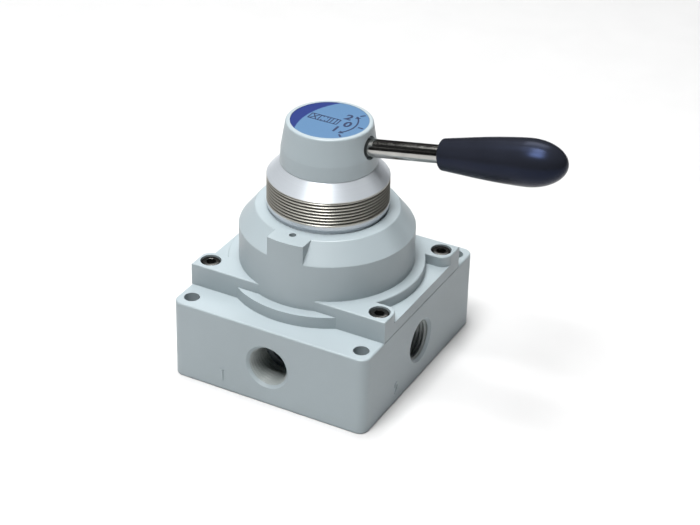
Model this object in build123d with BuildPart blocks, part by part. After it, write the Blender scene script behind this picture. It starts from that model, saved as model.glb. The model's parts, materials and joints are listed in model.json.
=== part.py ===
"""Hand lever air valve: a four-port, three-position rotary disc valve with a panel-mounting neck.

Units are millimetres.  The origin is the centre of the body's bottom face, +Z is up the spindle,
the lever points along +X in its middle position, and -Y is the front.
"""

from build123d import *
from math import cos, radians, sin, tan
import os

os.makedirs("parts", exist_ok=True)

# ---- body block ----
body_w = 96.0            # along X
body_d = 106.0           # along Y
body_h = 38.0
body_corner_r = 4.5
edge_r = 0.8             # rolled edges of the castings
mount_hole_x = 42.0      # four through holes for M6 screws
mount_hole_y = 46.0
mount_hole_r = 3.5

# ---- ports, one in the middle of each side ----
port_z = 19.0
port_r = 9.32            # G1/2 thread, minor radius
port_mouth_r = 10.5
port_thread_depth = 16.0
passage_r = 6.6
passage_end = 13.0       # how near to the axis a passage is drilled
riser_pitch_r = 19.0     # circle that the four vertical passages stand on
riser_r = 4.6

# ---- seat plate and its seals ----
seat_plate_r = 29.0
seat_plate_h = 6.0
seat_groove_in = 5.6
seat_groove_out = 7.8
seat_groove_depth = 1.9

# ---- joint between body and bonnet ----
cover_groove_r = 36.5
cover_ring_cord = 1.15   # radius of the ring's section

# ---- bonnet ----
flange_half_y = 36.5
flange_low_top = 43.5    # floor of the pockets and of the crescents
flange_top = 48.5
flange_disc_r = 44.0
boss_start_y = 23.5      # the screw bosses reach from here to the flange's edge
boss_corner_r = 5.0
pocket_start_x = 34.0
flange_edge_r = 0.6
dome_r = 39.0
dome_shoulder_z = 65.5
dome_top_r = 32.0
dome_top_z = 74.5
dome_edge_r = 0.8
screw_x = 42.0
screw_y = 30.0
screw_hole_r = 2.75
screw_bore_r = 4.7
screw_bore_floor = 42.0
screw_r = 2.5            # M5
screw_grip = 12.0        # length of the shank inside the body
screw_hole_depth = 14.0
screw_head_r = 4.25
screw_head_h = 5.0
screw_socket = (2.0, 2.6)  # half width across flats, depth
washer_h = 1.2
washer_r = (2.65, 4.4)
key_pad_w = 17.5         # pad on the front of the dome, where the wall runs on up to the top
key_pad_back_y = -26.0
key_hole_y = -31.2
key_hole_r = 1.6
key_hole_depth = 7.0
chamber_r = 32.5
chamber_top = 64.6

# ---- threaded neck ----
neck_spigot_r = 23.0
neck_foot_r = 26.2
neck_lip_z = 76.2
neck_r = 27.0            # M54 x 1.5, over the crests
neck_thread_start = 78.7
neck_thread_end = 89.9
neck_top_z = 96.4
neck_top_r = 21.3
neck_bore_r = 10.0
neck_throat_r = 8.12
neck_throat_z = (88.0, 92.0)
seal_seat_r = 11.5

# ---- spindle and what it carries ----
spindle_r = 8.0
spindle_flange_r = 28.6
spindle_flange_z = (54.0, 63.0)
spindle_square = 11.0
spindle_square_r = 7.4   # the square's corners are turned off at this radius
spindle_square_z = (98.5, 108.0)
ring_groove_z = (88.8, 91.2)
ring_groove_r = 6.4
thrust_washer_h = 1.5

# ---- rotary disc ----
disc_r = 27.0
disc_h = 10.0
kidney_depth = 5.0
kidney_w = 9.6
kidney_half_angle = 45.0
disc_bore_r = 9.0
drive_pin_r = 2.5
drive_pin_z = (43.5, 60.0)
pin_clearance = 0.05
pin_end_gap = 0.5
disc_spring_r = (9.5, 15.5)
disc_spring_leaf = 1.0
stub_gap = 1.0           # between the seat plate and the stub that centres the disc

# ---- detent ----
land_r = 29.0            # inside of the detent ring
ball_r = 3.0
ball_rest_r = 25.96      # centre of a ball that rides on the land
notch_centre_r = 26.9
notch_r = 3.25
detent_angles = (-45.0, 0.0, 45.0)
pocket_end_r = 13.0      # bottom of the blind pocket behind each ball

# ---- lever hub ----
hub_bottom = 96.6
hub_band_top = 103.5
hub_bottom_r = 21.3
hub_band_r = 20.9
hub_top_r = 18.9
hub_top = 115.8
hub_rim_r = 0.9
label_r = 17.0
label_h = 0.5
label_seat_z = 115.2
cap_recess_r = 6.2
cap_screw_floor = 110.4
cap_screw_r = 3.0        # M6
cap_screw_grip = 14.0
cap_hole_depth = 16.0
cap_head = (5.0, 3.6)    # radius, height
cap_socket = (2.0, 2.4)
cap_washer_h = 0.8
cap_washer_r = (3.1, 5.6)
cap_clearance_r = 3.2

# ---- lever rod and grip ----
lever_tilt = 10.0        # degrees above the horizontal
lever_ref = (20.6, 107.8)  # a point of the rod's axis: radius, height
rod_r = 4.0
rod_start = 10.4         # distances from the spindle's axis, measured level
grip_start = 53.8
grip_end = 109.1
rod_end = 86.0
spotface_r = 5.2
spotface_start = 18.2
past_hub = 6.0           # how far a cut along the rod runs on outside the hub
grip_mouth_r = 6.2
grip_lip_r = 6.85
grip_lip = 0.8
grip_swell = ((7.0, 7.55), (16.3, 8.6), (25.5, 9.45))  # distance from the mouth, radius
grip_widest = (39.0, 10.15)
grip_insert_length = 14.0
grip_insert_r = 5.4

side_angles = (0, 90, 180, 270)  # right, rear, left, front


def write(builder, label):
    """Name the finished piece and write its STEP file."""
    builder.part.label = label
    export_step(builder.part, f"parts/{label}.step")


def lever_point(level_distance):
    """The point of the lever's axis at a level distance from the spindle's axis."""
    x, z = lever_ref
    return Vector(level_distance, 0, z + (level_distance - x) * tan(radians(lever_tilt)))


def lever_plane(level_distance):
    """The plane across the lever at a level distance, looking outwards along the rod."""
    outwards = (cos(radians(lever_tilt)), 0, sin(radians(lever_tilt)))
    return Plane(origin=lever_point(level_distance), x_dir=(0, 1, 0), z_dir=outwards)


def along_lever(start, end):
    """Length of the lever's axis between two level distances."""
    return (end - start) / cos(radians(lever_tilt))


def side_plane(angle, reach):
    """The plane of a side face, with its normal pointing out of the block."""
    outwards = Vector(1, 0, 0).rotate(Axis.Z, angle)
    return Plane(origin=outwards * reach + Vector(0, 0, port_z), x_dir=(0, 0, 1), z_dir=outwards)


# ======================================================================================
# Housing
# ======================================================================================

# ---- valve_body: a block with four ports that turn up to the seat ----
with BuildPart() as valve_body:
    with BuildSketch(Plane.XY):
        RectangleRounded(body_w, body_d, body_corner_r)
    extrude(amount=body_h)
    fillet(valve_body.edges().filter_by(Plane.XY), radius=edge_r)
    with BuildSketch(Plane.XY.offset(body_h)):
        with GridLocations(2 * mount_hole_x, 2 * mount_hole_y, 2, 2):
            Circle(mount_hole_r)
    extrude(amount=-body_h, mode=Mode.SUBTRACT)
    # recess for the seat plate, the risers below it and the small seal grooves
    with BuildSketch(Plane.XY.offset(body_h)):
        Circle(seat_plate_r)
    extrude(amount=-seat_plate_h, mode=Mode.SUBTRACT)
    with BuildSketch(Plane.XY.offset(body_h - seat_plate_h)):
        with PolarLocations(riser_pitch_r, 4):
            Circle(seat_groove_out)
            Circle(seat_groove_in, mode=Mode.SUBTRACT)
    extrude(amount=-seat_groove_depth, mode=Mode.SUBTRACT)
    with BuildSketch(Plane.XY.offset(port_z)):
        with PolarLocations(riser_pitch_r, 4):
            Circle(riser_r)
    extrude(amount=body_h - seat_plate_h - port_z, mode=Mode.SUBTRACT)
    # groove for the large sealing ring under the bonnet
    with BuildSketch(Plane.XY.offset(body_h)):
        Circle(cover_groove_r + cover_ring_cord)
        Circle(cover_groove_r - cover_ring_cord, mode=Mode.SUBTRACT)
    extrude(amount=-2 * cover_ring_cord, mode=Mode.SUBTRACT)
    # the ports: threaded mouth, lead-in chamfer and the narrower passage behind
    for angle in side_angles:
        face_reach = body_w / 2 if angle % 180 == 0 else body_d / 2
        with BuildSketch(side_plane(angle, face_reach)):
            Circle(port_r)
        extrude(amount=-port_thread_depth, mode=Mode.SUBTRACT)
        with BuildSketch(side_plane(angle, face_reach)):
            Circle(passage_r)
        extrude(amount=-(face_reach - passage_end), mode=Mode.SUBTRACT)
        with BuildSketch(side_plane(angle, face_reach)):
            Circle(port_mouth_r)
        extrude(amount=-(port_mouth_r - port_r), taper=45, mode=Mode.SUBTRACT)
    # tapped holes for the bonnet screws
    with BuildSketch(Plane.XY.offset(body_h)):
        with GridLocations(2 * screw_x, 2 * screw_y, 2, 2):
            Circle(screw_r)
    extrude(amount=-screw_hole_depth, mode=Mode.SUBTRACT)
write(valve_body, "valve_body")

# ---- seat_plate: lapped plate that the disc turns on, with one hole over each riser ----
with BuildPart() as seat_plate:
    with BuildSketch(Plane.XY.offset(body_h - seat_plate_h)):
        Circle(seat_plate_r)
        with PolarLocations(riser_pitch_r, 4):
            Circle(riser_r, mode=Mode.SUBTRACT)
    extrude(amount=seat_plate_h)
write(seat_plate, "seat_plate")

# ---- seat_o_rings: one under the plate round each riser ----
seat_ring_cord = seat_groove_depth / 2
with BuildPart() as seat_o_rings:
    with Locations((0, 0, body_h - seat_plate_h - seat_ring_cord)):
        with PolarLocations(riser_pitch_r, 4):
            Torus((seat_groove_in + seat_groove_out) / 2, seat_ring_cord)
write(seat_o_rings, "seat_o_rings")

# ---- cover_o_ring: the large ring between body and bonnet ----
with BuildPart() as cover_o_ring:
    with Locations((0, 0, body_h - cover_ring_cord)):
        Torus(cover_groove_r, cover_ring_cord)
write(cover_o_ring, "cover_o_ring")

# ---- bonnet: flange with four screw bosses, round dome and the panel key pad ----
with BuildPart() as bonnet:
    # lower layer: the flange plate, with the disc bulging past its front and back
    with BuildSketch(Plane.XY.offset(body_h)):
        Rectangle(body_w, 2 * flange_half_y)
        Circle(flange_disc_r)
    extrude(amount=flange_low_top - body_h)
    # upper layer: a plate with two side pockets, which end at the disc and at the screw bosses
    with BuildSketch(Plane.XY.offset(flange_low_top)):
        Rectangle(body_w, 2 * flange_half_y)
        with GridLocations(body_w, 0, 2, 1):
            Rectangle(body_w - 2 * pocket_start_x, 2 * boss_start_y, mode=Mode.SUBTRACT)
        boss_corners = vertices().filter_by_position(Axis.Y, -boss_start_y - 1, boss_start_y + 1)
        fillet(boss_corners.group_by(Axis.X)[0] + boss_corners.group_by(Axis.X)[-1], radius=boss_corner_r)
        Circle(flange_disc_r)
        Rectangle(body_w, 2 * flange_half_y, mode=Mode.INTERSECT)
    extrude(amount=flange_top - flange_low_top)
    fillet(bonnet.edges().group_by(Axis.Z)[-1], radius=flange_edge_r)
    # the dome: a straight wall, a shoulder and a cone up to the neck
    with BuildSketch(Plane.XZ):
        with BuildLine():
            Polyline(
                (0, flange_low_top),
                (dome_r, flange_low_top),
                (dome_r, dome_shoulder_z),
                (dome_top_r, dome_top_z),
                (0, dome_top_z),
                close=True,
            )
        make_face()
        fillet(vertices().group_by(Axis.X)[-1].sort_by(Axis.Y)[-1], radius=dome_edge_r)
        fillet(vertices().group_by(Axis.Y)[-1].sort_by(Axis.X)[-1], radius=dome_edge_r)
    revolve(axis=Axis.Z)
    # the key pad: the round wall carried straight up to the top over the pad's width
    with BuildSketch(Plane.XY.offset(dome_shoulder_z - dome_edge_r)):
        Circle(dome_r)
        with Locations((0, (key_pad_back_y - dome_r) / 2)):
            Rectangle(key_pad_w, dome_r + key_pad_back_y, mode=Mode.INTERSECT)
    extrude(amount=dome_top_z - dome_shoulder_z + dome_edge_r)
    with BuildSketch(Plane.XY.offset(dome_top_z)):
        with Locations((0, key_hole_y)):
            Circle(key_hole_r)
    extrude(amount=-key_hole_depth, mode=Mode.SUBTRACT)
    # chamber, neck seat and the counterbored screw holes
    with BuildSketch(Plane.XY.offset(body_h)):
        Circle(chamber_r)
    extrude(amount=chamber_top - body_h, mode=Mode.SUBTRACT)
    with BuildSketch(Plane.XY.offset(chamber_top)):
        Circle(neck_spigot_r)
    extrude(amount=dome_top_z - chamber_top, mode=Mode.SUBTRACT)
    with BuildSketch(Plane.XY.offset(body_h)):
        with GridLocations(2 * screw_x, 2 * screw_y, 2, 2):
            Circle(screw_hole_r)
    extrude(amount=flange_top - body_h, mode=Mode.SUBTRACT)
    with BuildSketch(Plane.XY.offset(screw_bore_floor)):
        with GridLocations(2 * screw_x, 2 * screw_y, 2, 2):
            Circle(screw_bore_r)
    extrude(amount=flange_top - screw_bore_floor, mode=Mode.SUBTRACT)
write(bonnet, "bonnet")

# ---- neck_bush: turned bush pressed into the dome, for a panel nut ----
with BuildPart() as neck_bush:
    with BuildSketch(Plane.XZ):
        with BuildLine():
            Polyline(
                (neck_bore_r, chamber_top),
                (neck_spigot_r, chamber_top),
                (neck_spigot_r, dome_top_z),
                (neck_foot_r, dome_top_z),
                (neck_foot_r, neck_lip_z),
                (neck_r, neck_lip_z),
                (neck_r, neck_thread_end),
                (neck_top_r, neck_top_z),
                (seal_seat_r, neck_top_z),
                (seal_seat_r, neck_throat_z[1]),
                (neck_throat_r, neck_throat_z[1]),
                (neck_throat_r, neck_throat_z[0]),
                (neck_bore_r, neck_throat_z[0]),
                close=True,
            )
        make_face()
    revolve(axis=Axis.Z)
write(neck_bush, "neck_bush")


def ring(radius_in, radius_out, z_low, z_high, chamfer_size=0.0):
    """A plain turned ring round the spindle's axis."""
    with BuildPart() as made:
        with BuildSketch(Plane.XY.offset(z_low)):
            Circle(radius_out)
            Circle(radius_in, mode=Mode.SUBTRACT)
        extrude(amount=z_high - z_low)
        if chamfer_size:
            chamfer(made.edges().filter_by(GeomType.CIRCLE), length=chamfer_size)
    return made


# ---- spindle_bushing: plain bearing pressed into the neck ----
spindle_bushing = ring(spindle_r + 0.04, neck_bore_r, chamber_top + 0.6, neck_throat_z[0] - 0.4, 0.4)
write(spindle_bushing, "spindle_bushing")

# ---- wiper_seal: keeps dust out at the top of the neck ----
with BuildPart() as wiper_seal:
    with BuildSketch(Plane.XZ):
        with BuildLine():
            Polyline(
                (seal_seat_r, neck_throat_z[1]),
                (seal_seat_r, neck_top_z - 0.5),
                (seal_seat_r - 1.2, neck_top_z - 0.5),
                (seal_seat_r - 1.6, neck_throat_z[1] + 1.4),
                (spindle_r + 0.9, neck_top_z - 0.9),
                (spindle_r + 0.06, neck_top_z - 0.5),
                (spindle_r + 0.06, neck_throat_z[1] + 2.6),
                (spindle_r + 0.6, neck_throat_z[1]),
                close=True,
            )
        make_face()
    revolve(axis=Axis.Z)
write(wiper_seal, "wiper_seal")

# ---- detent_ring: hardened ring pressed into the dome, with three notches for each ball ----
with BuildPart() as detent_ring:
    with BuildSketch(Plane.XY.offset(spindle_flange_z[0] + 0.4)):
        Circle(chamber_r)
        Circle(land_r, mode=Mode.SUBTRACT)
    extrude(amount=chamber_top - spindle_flange_z[0] - 0.4)
    ball_z = sum(spindle_flange_z) / 2
    for side_angle in (90.0, 270.0):
        for turn in detent_angles:
            angle = radians(side_angle + turn)
            with Locations((notch_centre_r * cos(angle), notch_centre_r * sin(angle), ball_z)):
                Sphere(notch_r, mode=Mode.SUBTRACT)
write(detent_ring, "detent_ring")

# ---- bonnet_washers and bonnet_screws: four M5 socket screws on spring washers ----
head_low = screw_bore_floor + washer_h
with BuildPart() as bonnet_washers:
    with BuildSketch(Plane.XY.offset(screw_bore_floor)):
        with GridLocations(2 * screw_x, 2 * screw_y, 2, 2):
            Circle(washer_r[1])
            Circle(washer_r[0], mode=Mode.SUBTRACT)
    extrude(amount=washer_h)
write(bonnet_washers, "bonnet_washers")

with BuildPart() as bonnet_screws:
    with BuildSketch(Plane.XY.offset(body_h - screw_grip)):
        with GridLocations(2 * screw_x, 2 * screw_y, 2, 2):
            Circle(screw_r)
    extrude(amount=head_low - body_h + screw_grip)
    with BuildSketch(Plane.XY.offset(head_low)):
        with GridLocations(2 * screw_x, 2 * screw_y, 2, 2):
            Circle(screw_head_r)
    extrude(amount=screw_head_h)
    fillet(bonnet_screws.edges().group_by(Axis.Z)[-1], radius=0.5)
    with BuildSketch(Plane.XY.offset(head_low + screw_head_h)):
        with GridLocations(2 * screw_x, 2 * screw_y, 2, 2):
            RegularPolygon(screw_socket[0], 6, major_radius=False)
    extrude(amount=-screw_socket[1], mode=Mode.SUBTRACT)
write(bonnet_screws, "bonnet_screws")

# ======================================================================================
# Rotor: everything that turns with the lever
# ======================================================================================

# ---- rotary_disc: two kidney cavities join the ports in pairs when it turns ----
disc_low = body_h
kidney_arcs = [
    CenterArc((0, 0), riser_pitch_r, middle - kidney_half_angle, 2 * kidney_half_angle)
    for middle in (90.0, 270.0)
]
with BuildPart() as rotary_disc:
    with BuildSketch(Plane.XY.offset(disc_low)):
        Circle(disc_r)
        Circle(disc_bore_r, mode=Mode.SUBTRACT)
    extrude(amount=disc_h)
    chamfer(rotary_disc.edges().filter_by(GeomType.CIRCLE).group_by(Axis.Z)[-1], length=0.8)
    with BuildSketch(Plane.XY.offset(disc_low)):
        for kidney_arc in kidney_arcs:
            SlotArc(kidney_arc, kidney_w)
    extrude(amount=kidney_depth, mode=Mode.SUBTRACT)
    with BuildSketch(Plane.XY.offset(drive_pin_z[0] - pin_end_gap)):
        with PolarLocations(riser_pitch_r, 2):
            Circle(drive_pin_r + pin_clearance)
    extrude(amount=disc_low + disc_h - drive_pin_z[0] + pin_end_gap, mode=Mode.SUBTRACT)
write(rotary_disc, "rotary_disc")

# ---- disc_springs: two conical springs, back to back, that press the disc on its seat ----
spring_gap = spindle_flange_z[0] - disc_low - disc_h
with BuildPart() as disc_springs:
    for z_edge, z_crown in ((disc_low + disc_h, 1), (spindle_flange_z[0], -1)):
        half = z_crown * spring_gap / 2
        leaf = z_crown * disc_spring_leaf
        with BuildSketch(Plane.XZ):
            with BuildLine():
                Polyline(
                    (disc_spring_r[1], z_edge),
                    (disc_spring_r[1], z_edge + leaf),
                    (disc_spring_r[0], z_edge + half),
                    (disc_spring_r[0], z_edge + half - leaf),
                    close=True,
                )
            make_face()
        revolve(axis=Axis.Z)
write(disc_springs, "disc_springs")

# ---- spindle: flange below, round journal, and a square on top for the hub ----
with BuildPart() as spindle:
    with BuildSketch(Plane.XY.offset(spindle_flange_z[0])):
        Circle(spindle_flange_r)
    extrude(amount=spindle_flange_z[1] - spindle_flange_z[0])
    chamfer(spindle.edges().filter_by(GeomType.CIRCLE), length=0.6)
    with BuildSketch(Plane.XY.offset(spindle_flange_z[1])):
        Circle(spindle_r)
    extrude(amount=spindle_square_z[0] - spindle_flange_z[1])
    with BuildSketch(Plane.XY.offset(spindle_square_z[0])):
        Rectangle(spindle_square, spindle_square)
        Circle(spindle_square_r, mode=Mode.INTERSECT)
    extrude(amount=spindle_square_z[1] - spindle_square_z[0])
    # locating stub below the flange that centres the disc and the springs
    with BuildSketch(Plane.XY.offset(disc_low + stub_gap)):
        Circle(spindle_r)
    extrude(amount=spindle_flange_z[0] - disc_low - stub_gap)
    # groove for the sealing ring
    with BuildSketch(Plane.XY.offset(ring_groove_z[0])):
        Circle(spindle_r + 1.0)
        Circle(ring_groove_r, mode=Mode.SUBTRACT)
    extrude(amount=ring_groove_z[1] - ring_groove_z[0], mode=Mode.SUBTRACT)
    # seats for the drive pins
    with BuildSketch(Plane.XY.offset(spindle_flange_z[0])):
        with PolarLocations(riser_pitch_r, 2):
            Circle(drive_pin_r)
    extrude(amount=drive_pin_z[1] - spindle_flange_z[0], mode=Mode.SUBTRACT)
    # radial pockets for the detent balls and their springs
    for angle in (90.0, 270.0):
        outwards = Vector(1, 0, 0).rotate(Axis.Z, angle)
        with BuildSketch(Plane(outwards * pocket_end_r + Vector(0, 0, ball_z), z_dir=outwards)):
            Circle(ball_r + 0.06)
        extrude(amount=spindle_flange_r - pocket_end_r + 1.0, mode=Mode.SUBTRACT)
    # tapped hole for the cap screw
    with BuildSketch(Plane.XY.offset(spindle_square_z[1])):
        Circle(cap_screw_r)
    extrude(amount=-cap_hole_depth, mode=Mode.SUBTRACT)
write(spindle, "spindle")

# ---- drive_pins: pressed into the flange, sliding in the disc ----
with BuildPart() as drive_pins:
    with BuildSketch(Plane.XY.offset(drive_pin_z[0])):
        with PolarLocations(riser_pitch_r, 2):
            Circle(drive_pin_r)
    extrude(amount=drive_pin_z[1] - drive_pin_z[0])
    chamfer(drive_pins.edges().group_by(Axis.Z)[0], length=0.4)
write(drive_pins, "drive_pins")

# ---- thrust_washer and spindle_o_ring ----
thrust_washer = ring(spindle_r + 0.1, 17.0, spindle_flange_z[1], spindle_flange_z[1] + thrust_washer_h)
write(thrust_washer, "thrust_washer")

spindle_ring_cord = (neck_throat_r - 0.02 - ring_groove_r) / 2
with BuildPart() as spindle_o_ring:
    with Locations((0, 0, sum(ring_groove_z) / 2)):
        Torus(ring_groove_r + spindle_ring_cord, spindle_ring_cord)
write(spindle_o_ring, "spindle_o_ring")

# ---- detent balls and springs, one pair on each side of the flange ----
for side, name in ((1, "rear"), (-1, "front")):
    with BuildPart() as detent_ball:
        with Locations((0, side * ball_rest_r, ball_z)):
            Sphere(ball_r)
    write(detent_ball, f"detent_ball_{name}")

    # close-coiled spring drawn as the row of rings that its turns make
    spring_start = pocket_end_r
    spring_end = ball_rest_r - ball_r
    turns = 7
    wire_r = 0.4
    coil_r = 2.2
    pitch = (spring_end - spring_start - 2 * wire_r) / (turns - 1)
    with BuildPart() as detent_spring:
        for turn in range(turns):
            y = side * (spring_start + wire_r + turn * pitch)
            with Locations(Location((0, y, ball_z), (90, 0, 0))):
                Torus(coil_r, wire_r)
    write(detent_spring, f"detent_spring_{name}")

# ---- lever_hub: tapered cap on the spindle's square ----
with BuildPart() as lever_hub:
    with BuildSketch(Plane.XZ):
        with BuildLine():
            Polyline(
                (0, hub_bottom),
                (hub_bottom_r, hub_bottom),
                (hub_band_r, hub_band_top),
                (hub_top_r, hub_top),
                (0, hub_top),
                close=True,
            )
        make_face()
    revolve(axis=Axis.Z)
    fillet(lever_hub.edges().filter_by(GeomType.CIRCLE).group_by(Axis.Z)[-1], radius=hub_rim_r)
    # seat of the label, recess of the cap screw, square socket and the hollow underneath
    with BuildSketch(Plane.XY.offset(label_seat_z)):
        Circle(label_r + 0.1)
    extrude(amount=hub_top - label_seat_z, mode=Mode.SUBTRACT)
    with BuildSketch(Plane.XY.offset(cap_screw_floor)):
        Circle(cap_recess_r)
    extrude(amount=label_seat_z - cap_screw_floor, mode=Mode.SUBTRACT)
    with BuildSketch(Plane.XY.offset(spindle_square_z[0])):
        Rectangle(spindle_square, spindle_square)
        Circle(spindle_square_r, mode=Mode.INTERSECT)
    extrude(amount=spindle_square_z[1] - spindle_square_z[0], mode=Mode.SUBTRACT)
    with BuildSketch(Plane.XY.offset(hub_bottom)):
        Circle(spindle_r)
    extrude(amount=spindle_square_z[0] - hub_bottom, mode=Mode.SUBTRACT)
    with BuildSketch(Plane.XY.offset(spindle_square_z[1])):
        Circle(cap_clearance_r)
    extrude(amount=cap_screw_floor - spindle_square_z[1], mode=Mode.SUBTRACT)
    # tapped hole of the rod and the spotface at its mouth
    with BuildSketch(lever_plane(rod_start)):
        Circle(rod_r)
    extrude(amount=along_lever(rod_start, hub_bottom_r + past_hub), mode=Mode.SUBTRACT)
    with BuildSketch(lever_plane(spotface_start)):
        Circle(spotface_r)
    extrude(amount=along_lever(spotface_start, hub_bottom_r + past_hub), mode=Mode.SUBTRACT)
write(lever_hub, "lever_hub")

# ---- cap_washer and cap_screw: hold the hub on the spindle ----
cap_head_low = cap_screw_floor + cap_washer_h
cap_washer = ring(*cap_washer_r, cap_screw_floor, cap_head_low)
write(cap_washer, "cap_washer")

with BuildPart() as cap_screw:
    with BuildSketch(Plane.XY.offset(spindle_square_z[1] - cap_screw_grip)):
        Circle(cap_screw_r)
    extrude(amount=cap_head_low - spindle_square_z[1] + cap_screw_grip)
    with BuildSketch(Plane.XY.offset(cap_head_low)):
        Circle(cap_head[0])
    extrude(amount=cap_head[1])
    with BuildSketch(Plane.XY.offset(cap_head_low + cap_head[1])):
        RegularPolygon(cap_socket[0], 6, major_radius=False)
    extrude(amount=-cap_socket[1], mode=Mode.SUBTRACT)
write(cap_screw, "cap_screw")

# ---- label_disc: round plate let into the top of the hub ----
with BuildPart() as label_disc:
    with BuildSketch(Plane.XY.offset(label_seat_z)):
        Circle(label_r)
    extrude(amount=label_h)
write(label_disc, "label_disc")

# ---- lever_rod: plain bar screwed into the hub ----
with BuildPart() as lever_rod:
    with BuildSketch(lever_plane(rod_start)):
        Circle(rod_r)
    extrude(amount=along_lever(rod_start, rod_end))
write(lever_rod, "lever_rod")

# ---- lever_grip: moulded handle, swelling towards its round end ----
grip_length = along_lever(grip_start, grip_end)
grip_section = lever_plane(grip_start)
grip_profile_plane = Plane(origin=grip_section.origin, x_dir=grip_section.z_dir, z_dir=(0, -1, 0))
with BuildPart() as lever_grip:
    with BuildSketch(grip_profile_plane):
        with BuildLine():
            mouth = Line((0, 0), (0, grip_mouth_r))
            lip = Line(mouth @ 1, (grip_lip, grip_lip_r))
            Spline(lip @ 1, *grip_swell, grip_widest, tangents=[(1.0, 0.13), (1.0, 0.0)])
            EllipticalCenterArc((grip_widest[0], 0), grip_length - grip_widest[0], grip_widest[1], arc_size=90)
            Line((0, 0), (grip_length, 0))
        make_face()
    revolve(axis=Axis(grip_section.origin, grip_section.z_dir))
    with BuildSketch(grip_section):
        Circle(rod_r)
    extrude(amount=along_lever(grip_start, rod_end), mode=Mode.SUBTRACT)
    with BuildSketch(grip_section):
        Circle(grip_insert_r)
    extrude(amount=grip_insert_length, mode=Mode.SUBTRACT)
write(lever_grip, "lever_grip")

# ---- grip_insert: brass bush moulded into the mouth of the grip ----
with BuildPart() as grip_insert:
    with BuildSketch(grip_section):
        Circle(grip_insert_r)
        Circle(rod_r, mode=Mode.SUBTRACT)
    extrude(amount=grip_insert_length)
write(grip_insert, "grip_insert")
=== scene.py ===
# %% [markdown]
# # Hand lever air valve
# The valve is a grey enamelled casting with a port in each side, a domed cover, a bare metal neck
# with a fine panel thread, and a tapered hub that carries a plated lever with a black grip.
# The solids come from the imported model.  This script gives every surface its finish, and makes the
# pieces whose form is too fine for the solids: the threads, the screws, the port numbers and the
# label's print.  The grip is made again too, with a smoother skin.

import json
import math

import bmesh
import bpy
import numpy as np
from mathutils import Matrix, Vector


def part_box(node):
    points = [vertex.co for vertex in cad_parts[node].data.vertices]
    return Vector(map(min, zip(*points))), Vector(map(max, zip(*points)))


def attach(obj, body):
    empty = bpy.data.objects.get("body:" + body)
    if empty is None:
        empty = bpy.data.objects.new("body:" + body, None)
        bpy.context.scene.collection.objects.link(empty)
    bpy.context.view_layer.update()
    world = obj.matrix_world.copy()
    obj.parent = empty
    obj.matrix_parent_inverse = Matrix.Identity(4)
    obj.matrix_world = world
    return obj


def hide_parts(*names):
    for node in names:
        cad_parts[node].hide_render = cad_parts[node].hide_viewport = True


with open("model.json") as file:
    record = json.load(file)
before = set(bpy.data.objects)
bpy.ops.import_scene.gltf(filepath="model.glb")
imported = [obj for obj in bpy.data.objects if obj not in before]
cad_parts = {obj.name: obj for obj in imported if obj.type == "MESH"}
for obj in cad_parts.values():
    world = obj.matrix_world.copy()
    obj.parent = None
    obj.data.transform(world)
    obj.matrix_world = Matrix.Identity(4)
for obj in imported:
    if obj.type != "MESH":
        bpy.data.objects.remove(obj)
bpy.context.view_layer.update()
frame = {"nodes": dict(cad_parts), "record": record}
MM = 0.001  # the valve's sizes are written in millimetres, and Blender works in metres

# %% [markdown]
# ## Helpers
# A colour is written as the sRGB hex value that a paint chart gives, and turned to the linear
# values that a shader works with.  One function adds a node, sets it and links it.

# %% Colour and node helpers
SRGB_KNEE = 0.04045


def linear(hex_colour):
    """sRGB hex to linear RGBA: c / 12.92 up to the knee, ((c + 0.055) / 1.055) ** 2.4 above."""
    channels = np.array([int(hex_colour[i : i + 2], 16) for i in (1, 3, 5)]) / 255.0
    low = channels / 12.92
    high = ((channels + 0.055) / 1.055) ** 2.4
    return (*np.where(channels <= SRGB_KNEE, low, high).tolist(), 1.0)


def add_node(tree, kind, settings=None, links=None, **attributes):
    """Add a node; attributes go on the node, settings on its inputs, links into its inputs."""
    node = tree.nodes.new(kind)
    for key, value in attributes.items():
        setattr(node, key, value)
    for key, value in (settings or {}).items():
        node.inputs[key].default_value = value
    for key, socket in (links or {}).items():
        tree.links.new(socket, node.inputs[key])
    return node


def new_material(name):
    """An empty material with its Principled shader and an Object coordinate node."""
    material = bpy.data.materials.new(name)
    material.use_nodes = True
    tree = material.node_tree
    shader = tree.nodes["Principled BSDF"]
    place = add_node(tree, "ShaderNodeTexCoord").outputs["Object"]
    return material, tree, shader, place


def blend_colours(tree, factor, low_hex, high_hex):
    """A ramp between two colours: low + (high - low) x factor, worked out in linear values."""
    ramp = add_node(tree, "ShaderNodeValToRGB", links={"Fac": factor})
    ramp.color_ramp.elements[0].color = linear(low_hex)
    ramp.color_ramp.elements[1].color = linear(high_hex)
    return ramp


def roughen(tree, shader, height, distance, strength):
    """Feed a height into the shader's normal: relief = height x distance, as deep as strength."""
    bump = add_node(
        tree, "ShaderNodeBump", {"Strength": strength, "Distance": distance}, {"Height": height}
    )
    tree.links.new(bump.outputs["Normal"], shader.inputs["Normal"])


def give(node_name, material):
    """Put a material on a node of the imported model."""
    mesh = frame["nodes"][node_name].data
    mesh.materials.clear()
    mesh.materials.append(material)


print("linear mid grey:", linear("#808080")[0])

# %% [markdown]
# ## Surfaces from two parameters
# Turned and threaded pieces are surfaces of revolution, or nearly.  A grid of points with one index
# round the axis and one along the profile is worked out as whole arrays, and its quads follow from
# the indices.  Where the profile is a closed loop the shell closes on itself with no caps, and
# where it starts and ends on the axis the points there are merged into a pole.

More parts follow.
